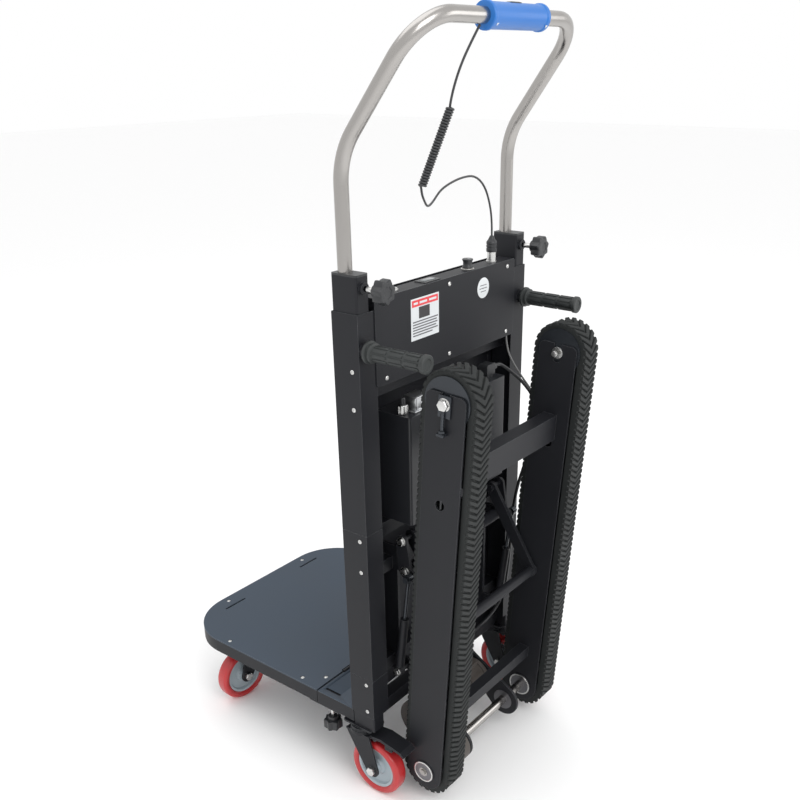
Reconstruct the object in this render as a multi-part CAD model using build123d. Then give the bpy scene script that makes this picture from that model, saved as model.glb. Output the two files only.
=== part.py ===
from build123d import *
import os
from math import atan2, cos, degrees, hypot, pi, radians, sin, tan

# Electric tracked stair-climbing hand truck, in millimetres.
# X runs across the machine (+X is the operator's left), +Y points to the operator and the tracks,
# -Y to the load platform, +Z up. Heights start at the floor. Inside this file Y starts at the rear
# face of the uprights; save() moves it to the middle of the footprint.

# Welded frame
FRAME_HALF = 260.0            # outer face of each upright
TUBE_W, TUBE_D, TUBE_WALL = 32.0, 56.0, 2.5
UPRIGHT_X = FRAME_HALF - TUBE_W / 2
UPRIGHT_Y = -TUBE_D / 2
UPRIGHT_TOP, UPRIGHT_FOOT = 1092.0, 161.0
SHEET = 1.5                   # folded covers
COVER_IN = 216.0              # inner edge of the upright covers
BASE_FRONT = -158.5           # front end of the fixed base
BASE_LOW, BASE_TOP = 165.0, 195.0

# Control box between the uprights
BOX_HALF, BOX_FRONT, BOX_LOW, BOX_TOP = 214.0, -31.0, 893.0, 1049.0
COVER_HALF, COVER_PLATE = 219.0, 2.0

# Push handle
PIPE_R, PIPE_WALL = 12.5, 1.5
LEG_X, LEG_Y, LEG_LOW, LEG_BEND_Z = 244.0, -37.0, 830.0, 1279.0
BAR_HALF, BAR_Y, BAR_Z = 231.0, 117.0, 1477.0
LEG_BEND_R, BAR_BEND_R = 130.0, 80.0
SLEEVE_X0, SLEEVE_X1, SLEEVE_R = -96.0, 70.0, 20.0

# Clamp knobs and side grips
KNOB_Z, KNOB_HEAD_Y = 1072.0, 36.0
GRIP_X, GRIP_Z, GRIP_Y0, GRIP_Y1 = 247.0, 966.0, 12.0, 138.0
GRIP_POST_R = 8.5

# Track unit: drive shaft below, idler axle above, standing nearly upright
SHAFT_Y, SHAFT_Z, SHAFT_R = 95.0, 82.0, 10.0
MOTOR_Y, MOTOR_Z = 20.0, 128.0
BEARING_SEAT, BEARING_FLANGE = 23.5, 27.0
BRACKET_LEFT, BRACKET_RIGHT, BRACKET = 97.0, -83.0, 6.0   # lower X of each shaft bracket
TRACK_LENGTH, TRACK_TILT = 813.0, 3.95
PLATE_OUT, PLATE_IN, PLATE = 218.0, 150.0, 3.0
PLATE_HALF = 41.5
BELT_X, BELT_W = 184.0, 52.0
BELT_IN, BELT_OUT, LUG_OUT = 42.0, 53.5, 58.0
LUG_PITCH, LUG_COUNT = 12.7, 150
DRUM_R, DRUM_W, FLANGE_R = 41.5, 50.0, 47.0
STRUT_FOOT = 318.0            # strut pivot, measured up the track from the drive shaft

# Folding brace, as (y, z) of each pivot
LEVER_PIVOT = (19.0, 507.0)
LEVER_TIP = (11.0, 571.0)
SPRING_TOP = (37.0, 503.0)
SPRING_FOOT = (8.0, 276.0)
BRACE_BRACKET_X, STRUT_X, LEVER_X, SPRING_X = 153.0, 139.5, 169.5, 184.0

# Load platform
DECK_HALF, DECK_FRONT, DECK_REAR = 260.0, -601.0, -160.5
DECK_SHEET, CORNER_R, RIM_W, RIM_WALL = 3.0, 122.0, 30.0, 2.5
FOLD_Y, FOLD_Z, KNUCKLE_R = -159.5, 195.0, 4.0
STRAP_Y, STRAP_X, STRAP_LENGTH, STRAP_W = -560.0, 128.0, 64.0, 6.0
DECK_SCREWS = [(129, -584), (246, -448), (246, -215), (215, -175)]

# Casters
WHEEL_R, WHEEL_W, TRAIL = 62.5, 32.0, 38.0
CASTER_HEIGHT, FORK_GAP, FORK_PLATE = 161.0, 40.0, 4.0
CASTERS = {                   # name: x, y, direction the wheel trails, degrees from +Y
    "rear_left": (241.0, -45.0, 0.0),
    "rear_right": (-241.0, -45.0, 0.0),
    "front_left": (153.0, -484.0, -94.0),
    "front_right": (-153.0, -484.0, 94.0),
}

# Running clearance of a shaft in its hole, on the radius
RUN = 0.05

FOOT_MIDDLE = (DECK_FRONT + SHAFT_Y + TRACK_LENGTH * sin(radians(TRACK_TILT)) + LUG_OUT) / 2
SIDES = (1, -1)


def save(name, *solids):
    shape = solids[0] if len(solids) == 1 else Compound(list(solids))
    export_step(Pos(0, -FOOT_MIDDLE, 0) * shape, f"parts/{name}.step")


def block(x0, x1, y0, y1, z0, z1):
    return Pos((x0 + x1) / 2, (y0 + y1) / 2, (z0 + z1) / 2) * Box(x1 - x0, y1 - y0, z1 - z0)


def rod(start, direction, radius, length):
    base = Cylinder(radius, length, align=(Align.CENTER, Align.CENTER, Align.MIN))
    return Plane(origin=start, z_dir=direction) * base


def bar_x(x0, x1, y, z, radius):
    return rod((x0, y, z), (1, 0, 0), radius, x1 - x0)


def ring_x(x0, x1, y, z, outer, inner):
    return bar_x(x0, x1, y, z, outer) - bar_x(x0 - 1, x1 + 1, y, z, inner)


def both(shape):
    return shape, mirror(shape, about=Plane.YZ)


def profile_x(face_yz, x0, x1):
    """A face drawn with y across and z up, extruded from x0 to x1."""
    plane = Plane(origin=(x0, 0, 0), x_dir=(0, 1, 0), z_dir=(1, 0, 0))
    return extrude(plane * face_yz, x1 - x0)


def link_face(a, radius_a, b, radius_b):
    """Two round ends joined by their outer tangents."""
    ends = Pos(*a) * Circle(radius_a) + Pos(*b) * Circle(radius_b)
    edges = (Pos(*a) * Circle(radius_a)).edges() + (Pos(*b) * Circle(radius_b)).edges()
    return make_hull(edges) + ends


def hexagon_x(x0, x1, y, z, across_flats):
    face = Pos(y, z) * RegularPolygon(across_flats / 2, 6, major_radius=False)
    return profile_x(face, x0, x1)


def screw_head(x, y, z, direction, radius=4.2, height=2.0):
    head = rod((x, y, z), direction, radius, height)
    rim = head.edges().filter_by(GeomType.CIRCLE).sort_by_distance((x, y, z))[-1]
    return fillet(rim, height * 0.6)


# ---------------------------------------------------------------- welded frame

def upright():
    outer = RectangleRounded(TUBE_W, TUBE_D, 4)
    inner = RectangleRounded(TUBE_W - 2 * TUBE_WALL, TUBE_D - 2 * TUBE_WALL, 2)
    tube = extrude(outer - inner, UPRIGHT_TOP - UPRIGHT_FOOT)
    tube = Pos(UPRIGHT_X, UPRIGHT_Y, UPRIGHT_FOOT) * tube
    boss = rod((LEG_X, -1, KNOB_Z), (0, 1, 0), 10, 7)
    screw_hole = rod((LEG_X, -10, KNOB_Z), (0, 1, 0), 5 + RUN, 20)
    return tube + boss - screw_hole


def grip_stub():
    flange = rod((GRIP_X, SHEET, GRIP_Z), (0, 1, 0), 13, 6)
    post = rod((GRIP_X, -2, GRIP_Z), (0, 1, 0), GRIP_POST_R, GRIP_Y1 - 8)
    return flange + post


def base_rails():
    rail_inner = COVER_IN + 12
    rail = block(rail_inner, FRAME_HALF, BASE_FRONT, -TUBE_D, BASE_LOW, BASE_TOP - 3)
    rail -= block(rail_inner + 3, FRAME_HALF - 3, BASE_FRONT - 1, -TUBE_D - 3, BASE_LOW + 3, BASE_TOP - 6)
    ledge = block(222, 258, -185, -100, BASE_LOW - 4.5, BASE_LOW - 0.5)
    ledge += block(226, 254, BASE_FRONT + 2, -100, BASE_LOW - 1, BASE_LOW + 1)
    boss = rod((240, -136, 150), (0, 0, 1), 8, 11)
    stud_hole = rod((240, -136, 140), (0, 0, 1), 4 + RUN, 24)
    return rail + ledge + boss - stud_hole


def base_plate():
    plate = block(-FRAME_HALF, FRAME_HALF, BASE_FRONT, -TUBE_D - SHEET - 0.5, BASE_TOP - 3, BASE_TOP)
    for side in SIDES:
        slot = extrude(SlotOverall(42, 6, rotation=90), 12)
        plate -= Pos(side * 242, -128, BASE_TOP - 8) * slot
    return plate


def fold_hinge(side):
    """Two knuckles with the pin fixed in them."""
    pin = bar_x(side * 150 - 25, side * 150 + 25, FOLD_Y, FOLD_Z, 2)
    for x in (132.5, 167.5):
        pin += bar_x(side * x - 7.5, side * x + 7.5, FOLD_Y, FOLD_Z, KNUCKLE_R)
    return pin


def brace_bracket():
    back = block(BRACE_BRACKET_X - 3, BRACE_BRACKET_X + 3, -50, -14, 250, 545)
    plate = back
    for y, z in (LEVER_PIVOT, SPRING_FOOT):
        lug = profile_x(link_face((-30, z), 16, (y, z), 14), BRACE_BRACKET_X - 3, BRACE_BRACKET_X + 3)
        plate += lug
    y, z = LEVER_PIVOT
    plate -= bar_x(BRACE_BRACKET_X - 5, BRACE_BRACKET_X + 5, y, z, 6 + RUN)
    return plate + bar_x(BRACE_BRACKET_X, SPRING_X + 12, *SPRING_FOOT, 4)


def shaft_bracket(x):
    face = link_face((-20, 176), 15, (SHAFT_Y, SHAFT_Z), 38)
    plate = profile_x(face, x, x + BRACKET)
    return plate - bar_x(x - 5, x + BRACKET + 5, SHAFT_Y, SHAFT_Z, BEARING_SEAT)


def main_frame():
    frame = block(-230, 230, -56, -26, UPRIGHT_FOOT, UPRIGHT_FOOT + 30)
    for z0 in (262, 492, 575, 862):
        frame += block(-230, 230, -TUBE_D, -26, z0, z0 + 28)
    frame += block(-150, 150, -30, 20, 600, 603)
    for piece in (upright(), grip_stub(), base_rails(), brace_bracket()):
        for copy in both(piece):
            frame += copy
    frame += shaft_bracket(BRACKET_LEFT) + shaft_bracket(BRACKET_RIGHT)
    frame += base_plate()
    for side in SIDES:
        frame -= bar_x(side * 150 - 10, side * 150 + 10, FOLD_Y, FOLD_Z, KNUCKLE_R + 0.6)
        frame += fold_hinge(side)
    return frame


def upright_cover(z0, z1):
    outer = block(COVER_IN, FRAME_HALF + SHEET, -TUBE_D - SHEET, SHEET, z0, z1)
    inner = block(COVER_IN - 1, FRAME_HALF, -TUBE_D, 0, z0 - 1, z1 + 1)
    return outer - inner


def upright_covers():
    covers = []
    for z0, z1 in ((195.5, 287), (287.8, 614), (614.8, 1030)):
        cover = upright_cover(z0, z1)
        cover -= rod((GRIP_X, -5, GRIP_Z), (0, 1, 0), 13.2, 20)
        covers += both(cover)
    return covers


def socket_guide():
    """Plastic bush that fills the top of an upright around the handle leg."""
    plug = block(LEG_X - 13.4, LEG_X + 13.4, -53.4, -2.6, UPRIGHT_TOP - 60, UPRIGHT_TOP)
    plug = fillet(plug.edges().filter_by(Axis.Z), 3)
    cap = block(LEG_X - 16, LEG_X + 16, -56, 0, UPRIGHT_TOP, UPRIGHT_TOP + 3)
    cap = fillet(cap.edges().filter_by(Axis.Z), 4)
    leg_hole = rod((LEG_X, LEG_Y, UPRIGHT_TOP - 80), (0, 0, 1), PIPE_R + RUN, 120)
    screw_hole = rod((LEG_X, -40, KNOB_Z), (0, 1, 0), 5.5, 60)
    return plug + cap - leg_hole - screw_hole


def front_panel():
    panel_half = COVER_IN - 0.5
    return block(-panel_half, panel_half, -TUBE_D - SHEET, -TUBE_D, BASE_TOP + 1, BOX_TOP - 5)


# ---------------------------------------------------------------- control box

DISPLAY_X, SPEED_X, SOCKET_X, PORT_X, PANEL_Y = 48.5, -78.0, -160.0, 150.0, -14.0


def control_box():
    shell = block(-BOX_HALF, BOX_HALF, BOX_FRONT, SHEET, BOX_LOW, BOX_TOP)
    shell -= block(-BOX_HALF + 2, BOX_HALF - 2, BOX_FRONT + 2, SHEET + 1, BOX_LOW + 2, BOX_TOP - 2)
    shell -= block(DISPLAY_X - 20, DISPLAY_X + 20, PANEL_Y - 9, PANEL_Y + 9, BOX_TOP - 5, BOX_TOP + 5)
    shell -= rod((SPEED_X, PANEL_Y, BOX_TOP - 5), (0, 0, 1), 5 + RUN, 10)
    shell -= rod((SOCKET_X, PANEL_Y, BOX_TOP - 5), (0, 0, 1), 8, 10)
    shell -= rod((PORT_X, PANEL_Y, BOX_TOP - 5), (0, 0, 1), 8, 10)
    return shell


def rear_cover():
    plate = block(-COVER_HALF, COVER_HALF, SHEET, SHEET + COVER_PLATE, BOX_LOW, BOX_TOP)
    return chamfer(plate.edges().filter_by(Axis.Y), 4)


def charge_display():
    bezel = block(DISPLAY_X - 24, DISPLAY_X + 24, PANEL_Y - 13, PANEL_Y + 13, BOX_TOP, BOX_TOP + 1.6)
    bezel = fillet(bezel.edges().filter_by(Axis.Z), 2)
    body = block(DISPLAY_X - 19.9, DISPLAY_X + 19.9, PANEL_Y - 8.9, PANEL_Y + 8.9, BOX_TOP - 14, BOX_TOP)
    window = block(DISPLAY_X - 17, DISPLAY_X + 17, PANEL_Y - 7, PANEL_Y + 7, BOX_TOP + 1, BOX_TOP + 3)
    return bezel + body - window


def speed_base():
    washer = rod((SPEED_X, PANEL_Y, BOX_TOP), (0, 0, 1), 10, 1.5)
    return washer - rod((SPEED_X, PANEL_Y, BOX_TOP - 1), (0, 0, 1), 5 + RUN, 5)


def speed_knob():
    spindle = rod((SPEED_X, PANEL_Y, BOX_TOP - 12), (0, 0, 1), 5, 16)
    cap = Cone(9.5, 11, 17, align=(Align.CENTER, Align.CENTER, Align.MIN))
    cap = Pos(SPEED_X, PANEL_Y, BOX_TOP + 2.2) * cap
    pointer = block(SPEED_X - 0.8, SPEED_X + 0.8, PANEL_Y + 3, PANEL_Y + 12, BOX_TOP + 18, BOX_TOP + 21)
    return spindle + cap - pointer


def round_socket(x, height):
    barrel = rod((x, PANEL_Y, BOX_TOP), (0, 0, 1), 8.8, height)
    nut = rod((x, PANEL_Y, BOX_TOP), (0, 0, 1), 10.5, 3)
    tail = rod((x, PANEL_Y, BOX_TOP - 16), (0, 0, 1), 7.9, 17)
    return barrel + nut + tail


def cord_plug():
    z = BOX_TOP + 20
    body = rod((SOCKET_X, PANEL_Y, z), (0, 0, 1), 10.5, 22)
    neck = Cone(8, 4.5, 9, align=(Align.CENTER, Align.CENTER, Align.MIN))
    return body + Pos(SOCKET_X, PANEL_Y, z + 22) * neck


def panel_screws():
    heads = []
    for z in (BOX_LOW + 11, BOX_TOP - 12):
        for x in (-192, 5, 192):
            heads.append(screw_head(x, SHEET + COVER_PLATE, z, (0, 1, 0)))
    for side in SIDES:
        for z in (929, 860, 600, 534, 274, 209):
            heads.append(screw_head(side * (FRAME_HALF + SHEET), -15, z, (side, 0, 0)))
    return heads


# ---------------------------------------------------------------- battery and drive

BATTERY_LOW, BATTERY_TOP = 603.0, 822.0


def battery_case():
    case = block(-158, 158, -54, 27, BATTERY_LOW, BATTERY_TOP)
    case -= block(-150, 150, -48, 20, BATTERY_LOW + 8, BATTERY_TOP - 8)
    return fillet(case.edges().filter_by(Axis.Z).group_by(Axis.Y)[-1], 5)


def battery_latch():
    catch = block(88, 124, -15, 15, BATTERY_TOP, BATTERY_TOP + 30)
    catch = fillet(catch.edges().filter_by(Axis.Y), 6)
    return catch + block(80, 132, -19, 19, BATTERY_TOP, BATTERY_TOP + 3)


def battery_terminal():
    nut = rod((145, 0, BATTERY_TOP), (0, 0, 1), 9, 18)
    return nut + rod((145, 0, BATTERY_TOP + 18), (0, 0, 1), 5, 14)


PLUG_X, PLUG_Y, PLUG_Z = -128.0, 0.0, 838.0


def battery_plug():
    base = rod((PLUG_X, PLUG_Y, BATTERY_TOP), (0, 0, 1), 13, 6)
    elbow = block(PLUG_X - 16, PLUG_X + 13, PLUG_Y - 11, PLUG_Y + 11, PLUG_Z - 12, PLUG_Z + 12)
    neck = rod((PLUG_X - 16, PLUG_Y, PLUG_Z), (-1, 0, 0), 7, 14)
    return base + fillet(elbow.edges().filter_by(Axis.Y), 4) + neck


CABLE_R = 3.5
CABLE_ROUTE = [
    (PLUG_X - 30, PLUG_Y, PLUG_Z), (-176, PLUG_Y, PLUG_Z), (-195, 12, 822), (-216, 30, 797), (-238, 46, 762),
    (-234, 60, 726), (-222, 62, 686), (-212, 52, 620), (-207.5, 36, 560), (-208, 22, 480),
    (-207.5, 20, 380), (-208, 10, 290), (-206, -6, 236), (-168, -8, 216), (-100, -4, 214),
    (-58, 10, 212), (-40, 20, 196), (-40, 20, 172),
]


def arc_radii(points, share=0.45):
    radii = []
    for a, b, c in zip(points, points[1:], points[2:]):
        first, second = Vector(*b) - Vector(*a), Vector(*c) - Vector(*b)
        turn = radians(first.get_angle(second))
        radii.append(share * min(first.length, second.length) / tan(turn / 2))
    return radii


def tube_along(points, radius, radii):
    path = FilletPolyline(*points, radius=radii)
    start = Plane(origin=path @ 0, z_dir=path % 0)
    return sweep(start * Circle(radius), path=path)


def gearbox():
    """Outboard of the left bracket, standing off it on a boss that clears the bearing."""
    x0, x1 = BRACKET_LEFT + BRACKET + 3, PLATE_IN - 7
    case = profile_x(link_face((MOTOR_Y, MOTOR_Z), 46, (SHAFT_Y, SHAFT_Z), 38), x0, x1)
    case += bar_x(x0 - 3, x0 + 1, MOTOR_Y, MOTOR_Z, 12)
    return case - bar_x(x0 - 5, x1 + 5, SHAFT_Y, SHAFT_Z, SHAFT_R + RUN)


def drive_motor():
    body = bar_x(-70, BRACKET_LEFT, MOTOR_Y, MOTOR_Z, 40)
    for x in (-62, -14, 34, 82):
        body += ring_x(x, x + 4, MOTOR_Y, MOTOR_Z, 42, 39)
    terminal = block(-56, -24, 4, 36, 160, 172)
    clamp = block(-20, -8, -40, 4, 150, UPRIGHT_FOOT)
    return body + terminal + clamp


def flanged_bearing(x_face, side, seat, flange):
    """Bearing with its flange on the face at x_face, looking out along side."""
    x0, x1 = sorted((x_face - side * 7, x_face))
    f0, f1 = sorted((x_face, x_face + side * 2.5))
    body = bar_x(x0, x1, SHAFT_Y, SHAFT_Z, seat) + bar_x(f0, f1, SHAFT_Y, SHAFT_Z, flange)
    return body - bar_x(x0 - 5, x1 + 5, SHAFT_Y, SHAFT_Z, SHAFT_R + RUN)


# ---------------------------------------------------------------- track unit

def on_track(shape):
    """Stands a shape drawn around the drive shaft, with +Z up the track, in its place."""
    return Pos(0, SHAFT_Y, SHAFT_Z) * Rot(-TRACK_TILT, 0, 0) * shape


def loop_face(radius):
    return Pos(0, TRACK_LENGTH / 2) * SlotOverall(TRACK_LENGTH + 2 * radius, 2 * radius, rotation=90)


def loop_point(s, radius):
    """Point at s along the belt's pitch line, moved out to radius from the shaft centres."""
    pitch_r = (LUG_PITCH * LUG_COUNT - 2 * TRACK_LENGTH) / (2 * pi)
    s %= LUG_PITCH * LUG_COUNT
    if s < TRACK_LENGTH:
        return radius, s
    s -= TRACK_LENGTH
    if s < pi * pitch_r:
        a = s / pitch_r
        return radius * cos(a), TRACK_LENGTH + radius * sin(a)
    s -= pi * pitch_r
    if s < TRACK_LENGTH:
        return -radius, TRACK_LENGTH - s
    a = (s - TRACK_LENGTH) / pitch_r
    return -radius * cos(a), -radius * sin(a)


def belt(side):
    outline = []
    for i in range(LUG_COUNT):
        s = i * LUG_PITCH
        for ds, radius in ((1.0, BELT_OUT), (2.8, LUG_OUT), (9.2, LUG_OUT), (11.0, BELT_OUT)):
            outline.append(loop_point(s + ds, radius))
    face = make_face(Polyline(*outline, close=True)) - loop_face(BELT_IN)
    x = side * BELT_X
    return on_track(profile_x(face, x - BELT_W / 2, x + BELT_W / 2))


def side_plate_face(bearing_seat):
    face = Pos(0, TRACK_LENGTH / 2) * Rectangle(2 * PLATE_HALF, TRACK_LENGTH)
    face += Circle(PLATE_HALF)
    top = Pos(0, TRACK_LENGTH + 5) * RectangleRounded(2 * PLATE_HALF, 26, 12)
    face = face + top
    face -= Pos(0, TRACK_LENGTH + 2) * SlotOverall(44, 17, rotation=90)
    face -= Pos(0, 621) * Circle(10)
    return face - Circle(bearing_seat)


def track_frame():
    plate = profile_x(side_plate_face(BEARING_SEAT), PLATE_IN, PLATE_IN + PLATE)
    plate -= bar_x(PLATE_IN - 5, PLATE_IN + 10, 0, STRUT_FOOT, 5 + RUN)
    frame = block(-PLATE_IN, PLATE_IN, -15, 15, 631, 685)
    frame -= block(-PLATE_IN + 1, PLATE_IN - 1, -12.5, 12.5, 633.5, 682.5)
    frame += block(-PLATE_IN, PLATE_IN, -12, 12, 85, 112)
    frame -= block(-PLATE_IN + 1, PLATE_IN - 1, -9.5, 9.5, 87.5, 109.5)
    for copy in both(plate):
        frame += copy
    for z in (150, 460, 740):
        for copy in both(bar_x(PLATE_IN, PLATE_OUT - PLATE, 0, z, 8)):
            frame += copy
    return on_track(frame)


def outer_plates():
    plate = profile_x(side_plate_face(21), PLATE_OUT - PLATE, PLATE_OUT)
    return [on_track(copy) for copy in both(plate)]


def tensioner():
    """Idler axle with its block, hexagon head and nut, and the screw that pulls it up."""
    axle = bar_x(PLATE_IN - 6, PLATE_OUT + 4, 0, TRACK_LENGTH, 8)
    outer_block = block(PLATE_OUT, PLATE_OUT + 4, -13, 13, TRACK_LENGTH - 24, TRACK_LENGTH + 16)
    head = hexagon_x(PLATE_OUT + 4, PLATE_OUT + 12, 0, TRACK_LENGTH, 19)
    nut = hexagon_x(PLATE_IN - 9, PLATE_IN, 0, TRACK_LENGTH, 19)
    screw = rod((PLATE_OUT + 6.5, 0, TRACK_LENGTH - 58), (0, 0, 1), 3.5, 50)
    tab = block(PLATE_OUT, PLATE_OUT + 13, -8, 8, TRACK_LENGTH - 56, TRACK_LENGTH - 51)
    lock_nut = rod((PLATE_OUT + 6.5, 0, TRACK_LENGTH - 51), (0, 0, 1), 6, 5)
    return axle + outer_block + head + nut + screw + tab + lock_nut


def drum(x0, x1, y, z, bore):
    wheel = bar_x(x0, x1, y, z, DRUM_R)
    wheel -= bar_x(x0 - 1, x1 + 1, y, z, bore)
    return wheel


def idler():
    x0, x1 = BELT_X - DRUM_W / 2, BELT_X + DRUM_W / 2
    wheel = drum(x0, x1, 0, TRACK_LENGTH, 8 + RUN)
    for f0 in (BELT_X - BELT_W / 2 - 3.5, BELT_X + BELT_W / 2 + 1):
        wheel += ring_x(f0, f0 + 2.5, 0, TRACK_LENGTH, FLANGE_R, 8 + RUN)
    wheel += ring_x(PLATE_IN + PLATE + 0.5, PLATE_OUT - PLATE - 0.5, 0, TRACK_LENGTH, 18, 8 + RUN)
    return on_track(wheel)


def drive_shaft():
    half = PLATE_OUT + 3.5
    shaft = bar_x(-half, half, SHAFT_Y, SHAFT_Z, SHAFT_R)
    return shaft + bar_x(-half - 3, half + 3, SHAFT_Y, SHAFT_Z, 6)


def drive_sprocket():
    x0, x1 = BELT_X - DRUM_W / 2, BELT_X + 19
    wheel = drum(x0, x1, SHAFT_Y, SHAFT_Z, SHAFT_R)
    for i in range(6):
        a = radians(60 * i)
        wheel -= bar_x(x0 - 1, x1 + 1, SHAFT_Y + 27 * cos(a), SHAFT_Z + 27 * sin(a), 7)
    return wheel


# ---------------------------------------------------------------- folding brace

def track_point(z):
    tilt = radians(TRACK_TILT)
    return SHAFT_Y + z * sin(tilt), SHAFT_Z + z * cos(tilt)


def strut():
    foot = track_point(STRUT_FOOT)
    body = bar_x(-PLATE_IN + 1.5, PLATE_IN - 1.5, *foot, 11)
    body += bar_x(-PLATE_IN - 4, PLATE_IN + 4, *foot, 5)
    arm = profile_x(link_face(foot, 13, LEVER_TIP, 13), STRUT_X - 4, STRUT_X + 4)
    arm += hexagon_x(STRUT_X - 10, STRUT_X - 4, *LEVER_TIP, 16)
    for copy in both(arm):
        body += copy
    return body


def lever():
    y, z = LEVER_PIVOT
    body = bar_x(-BRACE_BRACKET_X + 4.5, BRACE_BRACKET_X - 4.5, y, z, 13)
    side = bar_x(BRACE_BRACKET_X - 6, LEVER_X + 3, y, z, 6)
    side += profile_x(link_face(LEVER_PIVOT, 15, LEVER_TIP, 13), LEVER_X - 3, LEVER_X + 3)
    side += profile_x(link_face(LEVER_PIVOT, 15, SPRING_TOP, 8), LEVER_X - 3, LEVER_X + 3)
    side += bar_x(STRUT_X + 5.5, LEVER_X, *LEVER_TIP, 5)
    for point in (LEVER_PIVOT, LEVER_TIP):
        side += hexagon_x(LEVER_X + 3, LEVER_X + 8, *point, 16)
    for copy in both(side):
        body += copy
    return body


def spring_axis():
    dy, dz = SPRING_TOP[0] - SPRING_FOOT[0], SPRING_TOP[1] - SPRING_FOOT[1]
    length = hypot(dy, dz)
    return (0, dy / length, dz / length), length


def spring_point(distance):
    axis, _ = spring_axis()
    return SPRING_X, SPRING_FOOT[0] + axis[1] * distance, SPRING_FOOT[1] + axis[2] * distance


def gas_cylinder():
    axis, _ = spring_axis()
    tube = rod(spring_point(14), axis, 9, 118)
    neck = rod(spring_point(8), axis, 5, 8)
    eye = bar_x(SPRING_X - 6, SPRING_X + 6, *SPRING_FOOT, 10)
    body = tube + neck + eye
    body -= rod(spring_point(20), axis, 4 + RUN, 130)
    return body - bar_x(SPRING_X - 8, SPRING_X + 8, *SPRING_FOOT, 4 + RUN)


def gas_rod():
    axis, length = spring_axis()
    stem = rod(spring_point(60), axis, 4, length - 64)
    eye = bar_x(SPRING_X - 5, SPRING_X + 6, *SPRING_TOP, 9)
    return stem + eye + hexagon_x(SPRING_X + 6, SPRING_X + 11, *SPRING_TOP, 13)


# ---------------------------------------------------------------- handle

def handle_tube():
    points = [
        (LEG_X, LEG_Y, LEG_LOW), (LEG_X, LEG_Y, LEG_BEND_Z), (BAR_HALF, BAR_Y, BAR_Z),
        (-BAR_HALF, BAR_Y, BAR_Z), (-LEG_X, LEG_Y, LEG_BEND_Z), (-LEG_X, LEG_Y, LEG_LOW),
    ]
    path = FilletPolyline(*points, radius=[LEG_BEND_R, BAR_BEND_R, BAR_BEND_R, LEG_BEND_R])
    start = Plane(origin=path @ 0, z_dir=path % 0)
    return sweep(start * (Circle(PIPE_R) - Circle(PIPE_R - PIPE_WALL)), path=path)


SWITCH_X, SWITCH_W, SWITCH_D = -12.0, 26.0, 9.0


def grip_sleeve():
    sleeve = ring_x(SLEEVE_X0, SLEEVE_X1, BAR_Y, BAR_Z, SLEEVE_R, PIPE_R)
    for x0 in (SLEEVE_X0, SLEEVE_X1 - 9):
        sleeve += ring_x(x0, x0 + 9, BAR_Y, BAR_Z, SLEEVE_R + 1.8, PIPE_R)
    half_x, half_y = SWITCH_W / 2 + 0.5, SWITCH_D / 2 + 0.5
    pocket = block(SWITCH_X - half_x, SWITCH_X + half_x, BAR_Y - half_y, BAR_Y + half_y,
                   BAR_Z + SLEEVE_R - 6, BAR_Z + SLEEVE_R + 5)
    return sleeve - pocket


def grip_switch():
    top = BAR_Z + SLEEVE_R + 1
    rocker = block(SWITCH_X - SWITCH_W / 2, SWITCH_X + SWITCH_W / 2,
                   BAR_Y - SWITCH_D / 2, BAR_Y + SWITCH_D / 2, top - 4, top)
    rocker = fillet(rocker.edges().filter_by(Axis.Y), 1.2)
    pivot_length = SWITCH_D + 0.6
    return rocker + rod((SWITCH_X, BAR_Y - pivot_length / 2, top - 2), (0, 1, 0), 1.2, pivot_length)


def star_head(radius, height):
    """Five-lobed hand knob, its back face at the origin and its axis along +Z."""
    core = Cylinder(radius * 0.74, height, align=(Align.CENTER, Align.CENTER, Align.MIN))
    for i in range(5):
        a = radians(72 * i + 90)
        lobe = Cylinder(radius * 0.36, height, align=(Align.CENTER, Align.CENTER, Align.MIN))
        core += Pos(radius * 0.64 * cos(a), radius * 0.64 * sin(a), 0) * lobe
    hub = Cylinder(radius * 0.5, 8, align=(Align.CENTER, Align.CENTER, Align.MAX))
    return core + hub


def clamp_knob(side):
    head = Plane(origin=(side * LEG_X, KNOB_HEAD_Y, KNOB_Z), z_dir=(0, 1, 0)) * star_head(22.5, 20)
    stud_start = LEG_Y + PIPE_R + 0.4
    stud = rod((side * LEG_X, stud_start, KNOB_Z), (0, 1, 0), 5, KNOB_HEAD_Y - stud_start)
    return head + stud


def lock_knob():
    head = Plane(origin=(240, -136, 122), z_dir=(0, 0, -1)) * star_head(21, 22)
    return head + rod((240, -136, 121), (0, 0, 1), 4, 42.5)


def side_grip():
    grip = rod((GRIP_X, GRIP_Y0, GRIP_Z), (0, 1, 0), 14.5, GRIP_Y1 - GRIP_Y0)
    grip += rod((GRIP_X, GRIP_Y0, GRIP_Z), (0, 1, 0), 20, 5)
    grip += rod((GRIP_X, GRIP_Y0 + 9, GRIP_Z), (0, 1, 0), 17.5, 4)
    grip += rod((GRIP_X, GRIP_Y1 - 8, GRIP_Z), (0, 1, 0), 16.5, 8)
    return grip - rod((GRIP_X, 0, GRIP_Z), (0, 1, 0), GRIP_POST_R, GRIP_Y1 - 10)


# ---------------------------------------------------------------- control cord

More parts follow.
